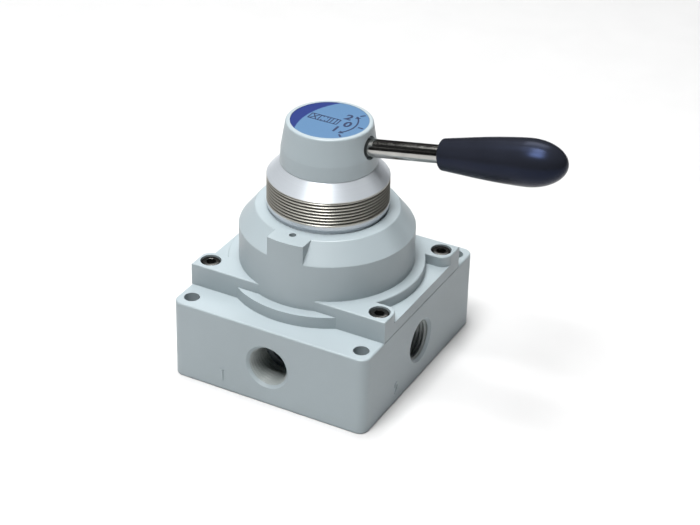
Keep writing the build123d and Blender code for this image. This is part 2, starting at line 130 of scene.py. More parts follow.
# %% Grid surfaces
def grid_mesh(name, points, loop_along=False):
    """points[i, j]: i runs round and always closes, j runs along and closes if loop_along."""
    around, along, _ = points.shape
    steps = along if loop_along else along - 1
    i, j = np.meshgrid(np.arange(around), np.arange(steps), indexing="ij")
    next_i = (i + 1) % around
    next_j = (j + 1) % along
    corners = np.stack(
        [i * along + j, next_i * along + j, next_i * along + next_j, i * along + next_j], axis=-1
    ).reshape(-1, 4)
    mesh = bpy.data.meshes.new(name)
    mesh.vertices.add(around * along)
    mesh.vertices.foreach_set("co", points.reshape(-1).astype(np.float32))
    mesh.loops.add(corners.size)
    mesh.loops.foreach_set("vertex_index", corners.reshape(-1).astype(np.int32))
    mesh.polygons.add(len(corners))
    mesh.polygons.foreach_set("loop_start", np.arange(0, corners.size, 4, dtype=np.int32))
    mesh.update(calc_edges=True)
    return mesh


def close_poles(mesh, distance=1e-7):
    """Merge points that fall together at a pole and drop the faces that vanish there."""
    work = bmesh.new()
    work.from_mesh(mesh)
    bmesh.ops.remove_doubles(work, verts=work.verts, dist=distance)
    bmesh.ops.dissolve_degenerate(work, edges=work.edges, dist=distance)
    bmesh.ops.recalc_face_normals(work, faces=work.faces)
    work.to_mesh(mesh)
    work.free()


def place_piece(name, mesh, material, body, sharp_degrees=35.0):
    """Make an object of a mesh, shade it smooth up to an angle, and let it ride on a body."""
    mesh.materials.append(material)
    mesh.shade_smooth()
    mesh.set_sharp_from_angle(angle=math.radians(sharp_degrees))
    piece = bpy.data.objects.new(name, mesh)
    bpy.context.scene.collection.objects.link(piece)
    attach(piece, body)
    return piece


print("helpers: a mesh from a grid, its poles closed, and a piece put on its body")

# %% [markdown]
# ## Camera
# The camera looks down at about thirty degrees from the front right, from most of a metre away with
# a long lens, so the block's edges converge only a little.  It is set first, so that every later
# piece can be judged from the same place.

# %% Camera
CAMERA_TURN = math.radians(28.13)  # from straight ahead towards the right side
CAMERA_HEIGHT = math.radians(30.75)  # above level
CAMERA_ROLL = math.radians(1.21)
CAMERA_TARGET = Vector((0, 0, 51.6)) * MM
CAMERA_DISTANCE = 864.6 * MM
CAMERA_LENS = 100.13
CAMERA_SENSOR = 36.0
CAMERA_SHIFT = (0.0329, -0.0194)
CAMERA_CLIP = (0.05, 20.0)  # metres

level = math.cos(CAMERA_HEIGHT)
towards = Vector(
    (math.sin(CAMERA_TURN) * level, -math.cos(CAMERA_TURN) * level, math.sin(CAMERA_HEIGHT))
)
sideways = Vector((math.cos(CAMERA_TURN), math.sin(CAMERA_TURN), 0))
upwards = towards.cross(sideways)
right = sideways * math.cos(CAMERA_ROLL) + upwards * math.sin(CAMERA_ROLL)
up = upwards * math.cos(CAMERA_ROLL) - sideways * math.sin(CAMERA_ROLL)
camera = bpy.data.objects.new("camera", bpy.data.cameras.new("camera"))
bpy.context.scene.collection.objects.link(camera)
turned = Matrix((right, up, towards)).transposed().to_4x4()
camera.matrix_world = Matrix.Translation(CAMERA_TARGET + towards * CAMERA_DISTANCE) @ turned
camera.data.sensor_width = CAMERA_SENSOR
camera.data.lens = CAMERA_LENS
camera.data.shift_x, camera.data.shift_y = CAMERA_SHIFT
camera.data.clip_start, camera.data.clip_end = CAMERA_CLIP
bpy.context.scene.camera = camera
print("camera at", [round(v, 3) for v in camera.matrix_world.translation])

# %% [markdown]
# ## Studio
# A product like this is shown on white, with soft boxes overhead and in front of it and only a
# little light from the left, so that the tops read pale, the front middle grey and the right side
# darkest.  The floor is matt and pale, and the light on it makes it white.  The sky adds almost no
# light, since it would fall on every side alike, but past the floor's edge it is seen as white.

# %% Floor, lights and sky
FLOOR_HALF = 1.1  # metres, as are the lights' places and sizes
FLOOR_SPECKLE = 25.0 * MM
SKY_SEEN = 1.0  # what the camera sees past the floor
SKY_LIGHT = 0.01  # what the sky adds to the light on the valve
AIM = (0, 0, 0.05)  # about the middle of the valve

floor_corners = [(-1, -1, 0), (1, -1, 0), (1, 1, 0), (-1, 1, 0)]
floor_mesh = bpy.data.meshes.new("studio_floor")
floor_mesh.from_pydata((np.array(floor_corners) * FLOOR_HALF).tolist(), [], [(0, 1, 2, 3)])
floor = bpy.data.objects.new("studio_floor", floor_mesh)
bpy.context.scene.collection.objects.link(floor)
floor_paint, tree, shader, place = new_material("matt_floor_paint")
speckle = add_node(
    tree, "ShaderNodeTexNoise", {"Scale": 1 / FLOOR_SPECKLE, "Detail": 2.0}, {"Vector": place}
)
tint = blend_colours(tree, speckle.outputs["Fac"], "#cfcfcf", "#d4d4d4")
tree.links.new(tint.outputs["Color"], shader.inputs["Base Color"])
shader.inputs["Roughness"].default_value = 0.9
shader.inputs["Specular IOR Level"].default_value = 0.1
floor_mesh.materials.append(floor_paint)


def area_light(name, position, target, size, watts):
    """A square soft box that faces its target."""
    lamp = bpy.data.lights.new(name, "AREA")
    lamp.energy = watts
    lamp.size = size
    holder = bpy.data.objects.new(name, lamp)
    holder.location = position
    holder.rotation_euler = (Vector(target) - Vector(position)).to_track_quat("-Z", "Y").to_euler()
    bpy.context.scene.collection.objects.link(holder)


area_light("overhead_soft_box", (-0.05, 0.0, 1.4), AIM, size=0.4, watts=11.5)
area_light("forward_soft_box", (0.0, -0.5, 1.25), AIM, size=0.5, watts=18.0)
area_light("left_soft_box", (-0.45, 0.0, 1.25), AIM, size=0.5, watts=2.5)
area_light("low_left_fill", (-1.1, -0.85, 0.55), (0, 0, 0.06), size=0.7, watts=0.45)
area_light("backdrop_light", (-0.9, 2.0, 2.7), (-0.9, 2.0, 0), size=1.8, watts=42.0)

world = bpy.data.worlds.new("studio_sky")
bpy.context.scene.world = world
world.use_nodes = True
sky = world.node_tree.nodes["Background"]
sky.inputs["Color"].default_value = linear("#f6f8fa")
ray = add_node(world.node_tree, "ShaderNodeLightPath")
strength = add_node(
    world.node_tree,
    "ShaderNodeMapRange",
    {"To Min": SKY_LIGHT, "To Max": SKY_SEEN},
    {"Value": ray.outputs["Is Camera Ray"]},
)
world.node_tree.links.new(strength.outputs["Result"], sky.inputs["Strength"])
bpy.context.scene.view_settings.view_transform = "Standard"

# %% [markdown]
# ## Grey enamel on the castings
# Body, cover and hub are die-cast aluminium under a satin light grey enamel.  The sprayed coat has
# a fine orange-peel ripple, about a millimetre from crest to crest, and a faint unevenness where
# it is thicker.  The metal below never shows, so this is a dielectric with a soft gloss.

# %% Casting enamel
COAT_DRIFT = 30.0 * MM  # from a thicker place to a thinner one
ORANGE_PEEL = 1.1 * MM
COAT_GRAIN = 0.35 * MM
COAT_RELIEF = 0.02 * MM
COAT_SPREAD = (-0.05, 0.07)  # how far the roughness strays from its middle value


def casting_enamel(name, low_hex, high_hex, roughness):
    """Sprayed enamel: two close greys, and a relief that is the orange peel times the grain."""
    material, tree, shader, place = new_material(name)
    drift = add_node(
        tree, "ShaderNodeTexNoise", {"Scale": 1 / COAT_DRIFT, "Detail": 3.0}, {"Vector": place}
    )
    tint = blend_colours(tree, drift.outputs["Fac"], low_hex, high_hex)
    tree.links.new(tint.outputs["Color"], shader.inputs["Base Color"])
    ripple = add_node(
        tree, "ShaderNodeTexNoise", {"Scale": 1 / ORANGE_PEEL, "Detail": 1.0}, {"Vector": place}
    )
    grain = add_node(
        tree, "ShaderNodeTexNoise", {"Scale": 1 / COAT_GRAIN, "Detail": 2.0}, {"Vector": place}
    )
    relief = add_node(
        tree,
        "ShaderNodeMath",
        links={0: grain.outputs["Fac"], 1: ripple.outputs["Fac"]},
        operation="MULTIPLY",
    )
    roughen(tree, shader, relief.outputs["Value"], COAT_RELIEF, 0.6)
    sheen = add_node(
        tree,
        "ShaderNodeMapRange",
        {"To Min": roughness + COAT_SPREAD[0], "To Max": roughness + COAT_SPREAD[1]},
        {"Value": ripple.outputs["Fac"]},
    )
    tree.links.new(sheen.outputs["Result"], shader.inputs["Roughness"])
    shader.inputs["IOR"].default_value = 1.5
    return material


enamel = casting_enamel("light_grey_enamel", "#98a3a7", "#a0abb0", 0.42)
castings = ("valve_body", "bonnet", "lever_hub")
for node_name in castings:
    give(node_name, enamel)
print("enamelled:", castings)

# %% [markdown]
# ## Bare metal of the neck
# The neck is turned after the casting is painted, so it is bare aluminium with a fine satin skin,
# which scatters about half of the light and mirrors the rest.  Turning leaves rings that are only
# hundredths of a millimetre apart; they are drawn about ten times coarser so that they show, as a
# bump that depends on the height alone.  The thread's roots are painted darker, as painted shade in
# the grooves, so between the foot and the bevel the colour follows the distance from the axis.

# %% Turned metal
NECK_R = 27.0
NECK_WALL_TOP_Z = 89.9
THREAD_START_Z = 78.3
THREAD_DEPTH = 0.85
UNSHADED_CREST = 0.1  # how far down from its crest the thread is left without painted shade
BEVEL_FADE = (NECK_WALL_TOP_Z - 0.2, NECK_WALL_TOP_Z + 0.3)  # heights where the painted shade of the thread's roots ends
FOOT_FADE = (THREAD_START_Z + 0.1, THREAD_START_Z - 0.5)
RING_PITCH = 0.25 * MM
RING_LENGTH = 500.0 * MM  # so long that a ring hardly changes on its way round
RING_RELIEF = 0.01 * MM
MIX_A, MIX_B, MIX_RESULT = 6, 7, 2  # the Mix node's sockets for colours, after its other kinds


def turned_metal(name, low_hex, high_hex, roughness, metallic):
    """Rings: a noise by height alone.  Thread: painted shade at the roots to bare metal at the
    crests, by the distance from the axis.
    """
    material, tree, shader, place = new_material(name)
    squeeze = add_node(
        tree,
        "ShaderNodeMapping",
        {"Scale": (1 / RING_LENGTH, 1 / RING_LENGTH, 1 / RING_PITCH)},
        {"Vector": place},
    )
    rings = add_node(
        tree,
        "ShaderNodeTexNoise",
        {"Scale": 1.0, "Detail": 2.0},
        {"Vector": squeeze.outputs["Vector"]},
    )
    skin = blend_colours(tree, rings.outputs["Fac"], low_hex, high_hex)
    flat = add_node(
        tree, "ShaderNodeVectorMath", {1: (1.0, 1.0, 0.0)}, {0: place}, operation="MULTIPLY"
    )
    from_axis = add_node(
        tree, "ShaderNodeVectorMath", links={0: flat.outputs["Vector"]}, operation="LENGTH"
    )
    crest = add_node(
        tree,
        "ShaderNodeMapRange",
        {"From Min": (NECK_R - THREAD_DEPTH) * MM, "From Max": (NECK_R - UNSHADED_CREST) * MM},
        {"Value": from_axis.outputs["Value"]},
    )
    split = add_node(tree, "ShaderNodeSeparateXYZ", links={"Vector": place})
    above = add_node(
        tree,
        "ShaderNodeMapRange",
        {"From Min": BEVEL_FADE[0] * MM, "From Max": BEVEL_FADE[1] * MM},
        {"Value": split.outputs["Z"]},
    )
    below = add_node(
        tree,
        "ShaderNodeMapRange",
        {"From Min": FOOT_FADE[0] * MM, "From Max": FOOT_FADE[1] * MM},
        {"Value": split.outputs["Z"]},
    )
    off_thread = add_node(
        tree,
        "ShaderNodeMath",
        links={0: above.outputs["Result"], 1: below.outputs["Result"]},
        operation="MAXIMUM",
    )
    # Painted shade: the thread's roots get a dark grey that stands in for the shade in the grooves.
    root_shade = blend_colours(tree, crest.outputs["Result"], "#4b4944", "#adaba3")
    tint = add_node(
        tree,
        "ShaderNodeMix",
        links={
            0: off_thread.outputs["Value"],
            MIX_A: root_shade.outputs["Color"],
            MIX_B: skin.outputs["Color"],
        },
        data_type="RGBA",
    )
    tree.links.new(tint.outputs[MIX_RESULT], shader.inputs["Base Color"])
    roughen(tree, shader, rings.outputs["Fac"], RING_RELIEF, 0.5)
    shader.inputs["Metallic"].default_value = metallic
    shader.inputs["Roughness"].default_value = roughness
    return material


neck_metal = turned_metal("turned_neck_metal", "#bac0c6", "#d0d6dc", 0.35, 0.42)
print("neck finish:", neck_metal.name)

# %% [markdown]
# ## Threaded neck
# A screw thread is a surface of revolution whose radius also depends on the angle: going once
# round, the whole tooth form climbs by one pitch.  So the thread's phase is height over pitch minus
# turns, and the radius is the crest less a triangle wave of that phase.  At both ends of the thread
# the depth fades out, as a real thread does where it meets the smooth metal.

# %% Neck with its panel thread
NECK_BORE_R = 10.0
NECK_SPIGOT_R = 23.0
NECK_FOOT_R = 26.2
NECK_TOP_R = 21.3
NECK_SEAT_Z = 74.5
NECK_LIP_Z = 76.2
NECK_CHAMFER = 0.25
THREAD_END_Z = 89.7
THREAD_PITCH = 1.5
THREAD_FADE_IN = 0.6  # height over which the thread reaches its full depth
THREAD_FADE_OUT = 0.5
THREAD_STEP = THREAD_PITCH / 12  # between points on the threaded wall
PLAIN_STEP = 2.0  # between points elsewhere
TOOTH_FLAT = 0.12  # share of half a pitch
SEAL_SEAT_R = 11.5
SEAL_SEAT_Z = 92.0

neck_low, neck_high = (np.array(corner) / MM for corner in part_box("neck_bush"))
neck_outline = [
    (NECK_SPIGOT_R, neck_low[2]),
    (NECK_SPIGOT_R, NECK_SEAT_Z),
    (NECK_FOOT_R, NECK_SEAT_Z),
    (NECK_FOOT_R, NECK_LIP_Z),
    (NECK_R - NECK_CHAMFER, NECK_LIP_Z),
    (NECK_R, NECK_LIP_Z + NECK_CHAMFER),
    (NECK_R, NECK_WALL_TOP_Z),
    (NECK_TOP_R, neck_high[2]),
    (SEAL_SEAT_R, neck_high[2]),
    (SEAL_SEAT_R, SEAL_SEAT_Z),
    (NECK_BORE_R, SEAL_SEAT_Z),
    (NECK_BORE_R, neck_low[2]),
]


def sample_profile(corners, spacing):
    """Points along straight runs between corners; spacing is one number, or one for each run."""
    corners = np.asarray(corners, float)
    steps = np.broadcast_to(spacing, len(corners) - 1)
    runs = []
    for start, end, step in zip(corners[:-1], corners[1:], steps):
        count = max(1, int(np.ceil(np.linalg.norm(end - start) / step)))
        runs.append(start + (end - start) * np.linspace(0, 1, count, endpoint=False)[:, None])
    return np.vstack([*runs, corners[-1:]])


def tooth(phase):
    """Triangle wave with flats: 0 at the crest, 1 at the root."""
    saw = np.abs((phase % 1.0) * 2 - 1)
    return np.clip((saw - TOOTH_FLAT) / (1 - 2 * TOOTH_FLAT), 0, 1)


def threaded_neck(around=240):
    """Radius = outline radius - depth x tooth(height / pitch - turn), inside the thread's span."""
    runs = zip(neck_outline[:-1], neck_outline[1:])
    on_wall = [low[0] == NECK_R and high[0] == NECK_R for low, high in runs]
    outline = sample_profile(neck_outline, np.where(on_wall, THREAD_STEP, PLAIN_STEP))
    turn = np.arange(around)[:, None] / around
    radius, height = outline[:, 0][None, :], outline[:, 1][None, :]
    fade_in = np.clip((height - THREAD_START_Z) / THREAD_FADE_IN, 0, 1)
    fade_out = np.clip((THREAD_END_Z - height) / THREAD_FADE_OUT, 0, 1)
    depth = THREAD_DEPTH * (radius == NECK_R) * fade_in * fade_out
    radius = radius - depth * tooth(height / THREAD_PITCH - turn)
    angle = turn * 2 * np.pi
    height = np.broadcast_to(height, radius.shape)
    points = np.stack([radius * np.cos(angle), radius * np.sin(angle), height], axis=-1)
    return grid_mesh("threaded_neck", points * MM, loop_along=True)


neck = place_piece("threaded_neck", threaded_neck(), neck_metal, "housing", 30.0)
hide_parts("neck_bush")
print("neck faces:", len(neck.data.polygons))

# %% [markdown]
# ## Port threads
# Each port has a half-inch pipe thread.  The solid's hole is already as narrow as such a thread's
# crests, and it can't be cut here, so the thread is a thin sleeve that stands inwards from the
# wall by its depth.  Its inner radius follows the same helical rule as the neck's thread.

# %% Threaded sleeves in the ports
PORT_Z = 19.0
PORT_R = 9.32
PORT_PITCH = 1.814
PORT_THREAD_DEPTH = 0.75
PORT_LEAD_IN = 1.3
PORT_DEPTH = 15.6
PORT_FADE = 0.9
PORT_STEP = 0.15  # between points along the port's axis
SLEEVE_GAP = 0.02  # between the sleeve and the solid's wall
SLEEVE_WALL = 0.05  # the sleeve's thickness at the thread's roots


def port_thread(name, outward, reach, around=120):
    """A sleeve round the port's axis: outer radius = wall, inner = wall - depth x (1 - tooth)."""
    outward = np.array(outward, float)
    level_axis = np.cross((0, 0, 1.0), outward)
    centre = outward * reach + np.array((0, 0, PORT_Z))
    depth = np.arange(PORT_LEAD_IN, PORT_DEPTH, PORT_STEP)
    turn = np.arange(around)[:, None] / around
    fade_in = np.clip((depth - PORT_LEAD_IN) / PORT_FADE, 0, 1)
    fade_out = np.clip((PORT_DEPTH - depth) / PORT_FADE, 0, 1)
    ridge = 1 - tooth(depth[None, :] / PORT_PITCH - turn)
    wall = PORT_R - SLEEVE_GAP
    inner = wall - SLEEVE_WALL - PORT_THREAD_DEPTH * ridge * fade_in * fade_out
    outer = np.broadcast_to(wall, (around, 2))
    radius = np.concatenate([inner, outer], axis=1)
    along = np.concatenate([depth, depth[[-1, 0]]])[None, :]
    angle = turn * 2 * np.pi
    points = (
        centre
        - along[..., None] * outward
        + (radius * np.cos(angle))[..., None] * level_axis
        + (radius * np.sin(angle))[..., None] * np.array((0, 0, 1.0))
    )
    mesh = grid_mesh(name, points * MM, loop_along=True)
    close_poles(mesh)
    return mesh


body_low, body_high = (np.array(corner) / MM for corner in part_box("valve_body"))
port_sides = {
    "right": ((1, 0, 0), body_high[0]),
    "rear": ((0, 1, 0), body_high[1]),
    "left": ((-1, 0, 0), -body_low[0]),
    "front": ((0, -1, 0), -body_low[1]),
}
# The enamel in the port bores is a darker copy of the body's: painted shade inside the ports.
ports_shaded_enamel = casting_enamel("darker_enamel_in_ports", "#8f9695", "#9ca2a1", 0.38)
for side, (outward, reach) in port_sides.items():
    sleeve = port_thread(f"port_thread_{side}", outward, reach)
    place_piece(f"port_thread_{side}", sleeve, ports_shaded_enamel, "housing", 30.0)
print("ports threaded:", list(port_sides))

# %% [markdown]
# ## Port numbers
# Each side carries a small raised number beside its port, as cast bodies do.  The numbers are
# plain text turned into a mesh that is set into the wall, a third of a millimetre proud.

# %% Cast numbers
NUMBER_HEIGHT = 7.5
NUMBER_RELIEF = 0.35
NUMBER_WEIGHT = 0.28  # how much bolder than the plain letters, on each side of a line
NUMBER_ASIDE = 22.8
NUMBER_Z = 7.4
UPRIGHT = Vector((0, 0, 1))


def solid_text(name, words, height, thickness, to_world, weight):
    """Text as a solid mesh: extruded by half its thickness each way, then carried by a matrix."""
    curve = bpy.data.curves.new(name, "FONT")
    curve.body = words
    curve.size = height * MM
    curve.extrude = thickness / 2 * MM
    curve.offset = weight * MM
    curve.align_x = "CENTER"
    curve.align_y = "CENTER"
    holder = bpy.data.objects.new(name, curve)
    bpy.context.scene.collection.objects.link(holder)
    bpy.context.view_layer.update()
    depsgraph = bpy.context.evaluated_depsgraph_get()
    shape = bpy.data.meshes.new_from_object(holder.evaluated_get(depsgraph))
    bpy.data.objects.remove(holder)
    shape.name = name
    shape.transform(to_world)
    shape.materials.clear()
    return shape


for number, side in zip("1234", ("front", "right", "rear", "left")):
    outward, reach = port_sides[side]
    outward = Vector(outward)
    along_face = UPRIGHT.cross(outward)
    centre = outward * reach - along_face * NUMBER_ASIDE + UPRIGHT * NUMBER_Z
    turn_to_face = Matrix((along_face, UPRIGHT, outward)).transposed().to_4x4()
    carry = Matrix.Translation(centre * MM) @ turn_to_face
    name = f"port_number_{side}"
    shape = solid_text(name, number, NUMBER_HEIGHT, 2 * NUMBER_RELIEF, carry, NUMBER_WEIGHT)
    place_piece(name, shape, enamel, "housing")
print("numbers 1 to 4 on the sides")

# %% [markdown]
# ## Cover screws
# The four socket head screws are blackened steel with a knurled rim.  One screw is a single
# surface: from the middle of the socket's floor out to its six flat sides, up, over the top, down
# the knurled rim and back to the axis under the shank.  The six sides are a radius that depends on
# the angle, the half width over the cosine of the angle from the nearest flat's middle.

# %% Socket head screws
SCREW_X, SCREW_Y = 42.0, 30.0
HEAD_R = 4.25
HEAD_TOP = 48.2
HEAD_LOW = 43.2
RIM_ROUND = 0.6
SHOULDER_DROP = 0.1  # how low the rim's rounding is half way in
SHOULDER_INSET = 0.08  # and how far in it is half way down
UNDER_EDGE = 0.3
SHANK_R = 2.5
SHANK_END = 26.0
SHANK_CHAMFER = 0.5
SOCKET_HALF = 2.0
SOCKET_FLOOR = 45.6
SOCKET_EDGE = 0.2
KNURLS = 36
KNURL_DEPTH = 0.14
OXIDE_PATCH = 1.2 * MM
OXIDE_RELIEF = 0.01 * MM


def screw_points(centre_x, centre_y, around=144):
    """One screw's rows of (radius by angle, height), from the socket's floor to the shank's end."""
    angle = np.arange(around) / around * 2 * np.pi
    from_flat = (angle + np.pi / 6) % (np.pi / 3) - np.pi / 6
    axis = np.zeros(around)
    socket = SOCKET_HALF / np.cos(from_flat)
    rim = HEAD_R - KNURL_DEPTH * (0.5 + 0.5 * np.cos(KNURLS * angle))
    rows = [
        (axis, SOCKET_FLOOR),
        (socket, SOCKET_FLOOR),
        (socket, HEAD_TOP - SOCKET_EDGE),
        (socket + SOCKET_EDGE, HEAD_TOP),
        (axis + HEAD_R - RIM_ROUND, HEAD_TOP),
        (axis + HEAD_R - RIM_ROUND / 2, HEAD_TOP - SHOULDER_DROP),
        (rim - SHOULDER_INSET, HEAD_TOP - RIM_ROUND / 2),
        (rim, HEAD_TOP - RIM_ROUND),
        (rim, HEAD_LOW + UNDER_EDGE),
        (axis + HEAD_R - UNDER_EDGE, HEAD_LOW),
        (axis + SHANK_R, HEAD_LOW),
        (axis + SHANK_R, SHANK_END + SHANK_CHAMFER),
        (axis + SHANK_R - SHANK_CHAMFER, SHANK_END),
        (axis, SHANK_END),
    ]
    radius = np.stack([row[0] for row in rows], axis=1)
    height = np.broadcast_to(np.array([row[1] for row in rows]), radius.shape)
    x = centre_x + radius * np.cos(angle)[:, None]
    y = centre_y + radius * np.sin(angle)[:, None]
    return np.stack([x, y, height], axis=-1)


def blackened_steel(name):
    """Hot-blacked steel: nearly black oxide with an oily gloss, greyer where it is thin."""
    material, tree, shader, place = new_material(name)
    patches = add_node(
        tree, "ShaderNodeTexNoise", {"Scale": 1 / OXIDE_PATCH, "Detail": 3.0}, {"Vector": place}
    )
    tint = blend_colours(tree, patches.outputs["Fac"], "#242527", "#646360")
    tree.links.new(tint.outputs["Color"], shader.inputs["Base Color"])
    shader.inputs["Metallic"].default_value = 0.9
    shader.inputs["Roughness"].default_value = 0.2
    roughen(tree, shader, patches.outputs["Fac"], OXIDE_RELIEF, 0.5)
    return material


black_steel = blackened_steel("blackened_screw_steel")
screw_places = [(x, y) for x in (-SCREW_X, SCREW_X) for y in (-SCREW_Y, SCREW_Y)]
for count, (x, y) in enumerate(screw_places, start=1):
    mesh = grid_mesh(f"cover_screw_{count}", screw_points(x, y) * MM)
    close_poles(mesh)
    screw = place_piece(mesh.name, mesh, black_steel, "housing")
    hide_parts("bonnet_screws")
print("screws:", len(screw_places), "faces each:", len(mesh.polygons))

# %% [markdown]
# ## Lever rod
# The rod is ground steel with a bright plating.  What shows is mostly the room mirrored in it: a
# dark band above and a pale one below.  The lines that grinding leaves are too fine to see, so only
# a slight cloudiness of the gloss is drawn.

# %% Plated rod
PLATING_CLOUD = 4.0 * MM
PLATING_ROUGHNESS = (0.1, 0.2)


def plated_steel(name):
    """Bright plating: one slow noise sets both the tint and the roughness, low to high."""
    material, tree, shader, place = new_material(name)
    cloud = add_node(
        tree, "ShaderNodeTexNoise", {"Scale": 1 / PLATING_CLOUD, "Detail": 3.0}, {"Vector": place}
    )
    tint = blend_colours(tree, cloud.outputs["Fac"], "#9b9a97", "#bab9b5")
    tree.links.new(tint.outputs["Color"], shader.inputs["Base Color"])
    gloss = add_node(
        tree,
        "ShaderNodeMapRange",
        {"To Min": PLATING_ROUGHNESS[0], "To Max": PLATING_ROUGHNESS[1]},
        {"Value": cloud.outputs["Fac"]},
    )
    tree.links.new(gloss.outputs["Result"], shader.inputs["Roughness"])
    shader.inputs["Metallic"].default_value = 1.0
    return material


give("lever_rod", plated_steel("plated_rod_steel"))
print("rod plated")

# %% [markdown]
# ## Grip
# The grip is moulded from a glossy near-black plastic with a blue cast.  Its outline is a smooth
# curve through a few radii, from a flat mouth round the rod's brass insert to the widest place, and
# a quarter of an ellipse from there to the tip.  It is spun about the lever's own tilted axis.

# %% Moulded grip
LEVER_TILT = math.radians(10.0)
LEVER_POINT = np.array((20.6, 0.0, 107.8))
GRIP_START = 53.8
GRIP_END = 109.1
INSERT_R = 5.4
MOUTH_DEPTH = 14.0
MOUTH_EDGE = 0.25
WIDEST_ALONG, WIDEST_R = 39.0, 10.15
SIDE_END = WIDEST_ALONG - 0.3  # the tip's ellipse takes over from here
grip_length = (GRIP_END - GRIP_START) / math.cos(LEVER_TILT)
lever_axis = np.array((math.cos(LEVER_TILT), 0.0, math.sin(LEVER_TILT)))
grip_origin = LEVER_POINT + lever_axis * (GRIP_START - LEVER_POINT[0]) / math.cos(LEVER_TILT)


def smooth_curve(points, count):
    """Catmull-Rom curve: three rounds of blending between the four nearest points.

    The knots are spaced by the square root of the distance between points.
    """
    points = np.asarray(points, float)
    padded = np.vstack([2 * points[0] - points[1], points, 2 * points[-1] - points[-2]])
    lengths = np.linalg.norm(np.diff(padded, axis=0), axis=1)
    knots = np.concatenate([[0.0], np.cumsum(lengths**0.5)])
    t = np.linspace(knots[1], knots[-2], count)
    k = np.clip(np.searchsorted(knots, t, side="right") - 1, 1, len(points) - 1)
    t0, t1, t2, t3 = (knots[k + n][:, None] for n in (-1, 0, 1, 2))
    p0, p1, p2, p3 = (padded[k + n] for n in (-1, 0, 1, 2))
    t = t[:, None]
    a1 = (t1 - t) / (t1 - t0) * p0 + (t - t0) / (t1 - t0) * p1
    a2 = (t2 - t) / (t2 - t1) * p1 + (t - t1) / (t2 - t1) * p2
    a3 = (t3 - t) / (t3 - t2) * p2 + (t - t2) / (t3 - t2) * p3
    b1 = (t2 - t) / (t2 - t0) * a1 + (t - t0) / (t2 - t0) * a2
    b2 = (t3 - t) / (t3 - t1) * a2 + (t - t1) / (t3 - t1) * a3
    return (t2 - t) / (t2 - t1) * b1 + (t - t1) / (t2 - t1) * b2


def spin_about_lever(name, profile, around):
    """Points = mouth + distance x axis + radius x the spoke at each angle round the lever.

    Each row of the profile is a distance from the grip's mouth and the radius there.
    """
    across = np.array((0.0, 1.0, 0.0))
    above = np.cross(lever_axis, across)
    angle = np.arange(around)[:, None, None] / around * 2 * np.pi
    along = profile[None, :, 0, None]
    radius = profile[None, :, 1, None]
    spoke = np.cos(angle) * across + np.sin(angle) * above
    return grid_mesh(name, (grip_origin + along * lever_axis + radius * spoke) * MM)


mouth = [
    (MOUTH_DEPTH, 0.0),
    (MOUTH_DEPTH, INSERT_R),
    (MOUTH_EDGE, INSERT_R),
    (0.0, INSERT_R + MOUTH_EDGE),
    (0.0, 6.2),  # the flat mouth ends here, and its rounded edge follows
    (0.12, 6.5),
    (0.4, 6.75),
]
side_radii = [(0.8, 6.85), (7.0, 7.55), (16.3, 8.6), (25.5, 9.45), (WIDEST_ALONG, WIDEST_R)]
past_widest = (48.0, 10.0)  # only steers the curve where it is widest
grip_side = smooth_curve([*side_radii, past_widest], count=80)
grip_side = grip_side[grip_side[:, 0] < SIDE_END]
tip_angle = np.linspace(0, np.pi / 2, 28)
tip_along = WIDEST_ALONG + (grip_length - WIDEST_ALONG) * np.sin(tip_angle)
tip = np.stack([tip_along, WIDEST_R * np.cos(tip_angle)], axis=1)
grip_profile = np.vstack([mouth, grip_side, tip])
grip_profile[-1, 1] = 0.0
print("grip's outline:", len(grip_profile), "points")

# %% [markdown]
# The plastic is nylon or phenolic.  The mould's spark-eroded skin leaves a fine grain on it, and
# its gloss has a blue-violet cast, which the specular tint gives.

# %% Moulded plastic
PLASTIC_DRIFT = 12.0 * MM
PLASTIC_GRAIN = 0.5 * MM
PLASTIC_RELIEF = 0.01 * MM


def moulded_plastic(name, low_hex, high_hex, roughness):
    """Two near-blacks blended by a slow noise, and a fine noise as the grain's relief."""
    material, tree, shader, place = new_material(name)
    drift = add_node(
        tree, "ShaderNodeTexNoise", {"Scale": 1 / PLASTIC_DRIFT, "Detail": 2.0}, {"Vector": place}
    )
    tint = blend_colours(tree, drift.outputs["Fac"], low_hex, high_hex)
    tree.links.new(tint.outputs["Color"], shader.inputs["Base Color"])
    grain = add_node(
        tree, "ShaderNodeTexNoise", {"Scale": 1 / PLASTIC_GRAIN, "Detail": 2.0}, {"Vector": place}
    )
    roughen(tree, shader, grain.outputs["Fac"], PLASTIC_RELIEF, 0.4)
    shader.inputs["Roughness"].default_value = roughness
    shader.inputs["IOR"].default_value = 1.5
    shader.inputs["Specular IOR Level"].default_value = 0.26
    shader.inputs["Specular Tint"].default_value = linear("#86a0e6")
    return material


grip_plastic = moulded_plastic("blue_black_grip_plastic", "#1c1e24", "#22242c", 0.27)
grip_mesh = spin_about_lever("moulded_grip", grip_profile, around=128)
close_poles(grip_mesh)
grip = place_piece("moulded_grip", grip_mesh, grip_plastic, "rotor", 40.0)
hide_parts("lever_grip")
grip_width = 2 * grip_profile[:, 1].max()
print("grip", round(grip_length, 1), "mm long, widest", round(grip_width, 1), "mm")

# %% [markdown]
# ## Label
# The round plate on the hub carries a printed film in two blues: a steel blue field with a deep
# blue crescent on the side away from the lever.  A point is in the crescent when it is further than
# one radius from a centre on the lever's side.  The distance is worked out from Object coordinates,
# so the print follows the plate wherever it turns.

# %% Label film
FIELD_CENTRE = (21.0, -4.0)
FIELD_R = 32.0
FIELD_BLUR = 0.1
FILM_GRAIN = 0.4 * MM
FILM_RELIEF = 0.005 * MM


